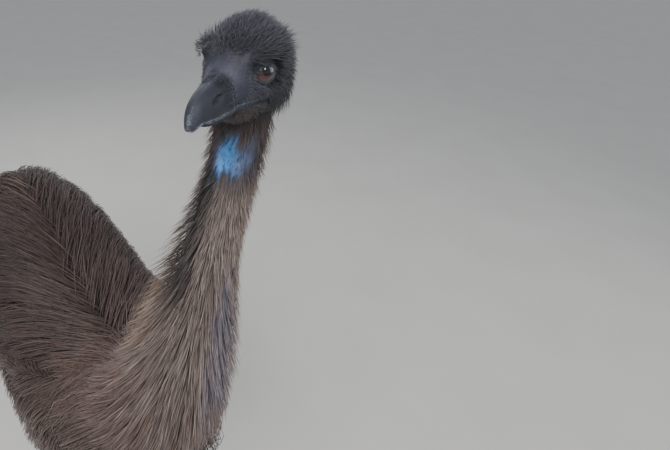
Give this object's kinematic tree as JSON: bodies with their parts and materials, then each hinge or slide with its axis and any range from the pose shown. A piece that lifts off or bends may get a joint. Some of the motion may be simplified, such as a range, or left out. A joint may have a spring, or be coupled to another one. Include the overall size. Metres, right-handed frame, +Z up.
{
  "type": "emu standing life-size museum model",
  "caption": "Life-size emu standing with its head turned to its right, in a long shaggy brown coat parted along the back, with a slate bill, blue throat and scaled legs.",
  "frame": {"origin": "middle of the underside of the whole bird's box, on the floor between the feet", "axes": "+Z up, along the bird's height; the chest faces -Y and the bird's left side is +X"},
  "size_m": [0.4944, 1.0644, 1.5302],
  "materials": {
    "coat": "matt shaggy brown feathers",
    "bare_skin": "matt blue-grey bare skin",
    "horn": "satin dark slate horn",
    "leg_scale": "dull grey-brown scutes",
    "eye": "wet glossy red-brown eye"
  },
  "bodies": {
    "root": {"bill_lower": "horn", "bill_upper": "horn", "claw_inner_left": "horn", "claw_inner_right": "horn", "claw_middle_left": "horn", "claw_middle_right": "horn", "claw_outer_left": "horn", "claw_outer_right": "horn", "drumstick_left": "coat", "drumstick_right": "coat", "ear_left": "bare_skin", "ear_right": "bare_skin", "eye_left": "eye", "eye_right": "eye", "head": "coat", "neck_lower": "coat", "neck_upper": "coat", "shank_left": "leg_scale", "shank_right": "leg_scale", "tail": "coat", "toe_inner_left": "leg_scale", "toe_inner_right": "leg_scale", "toe_middle_left": "leg_scale", "toe_middle_right": "leg_scale", "toe_outer_left": "leg_scale", "toe_outer_right": "leg_scale", "torso": "coat", "wing_left": "coat", "wing_right": "coat"}
  },
  "joints": []
}
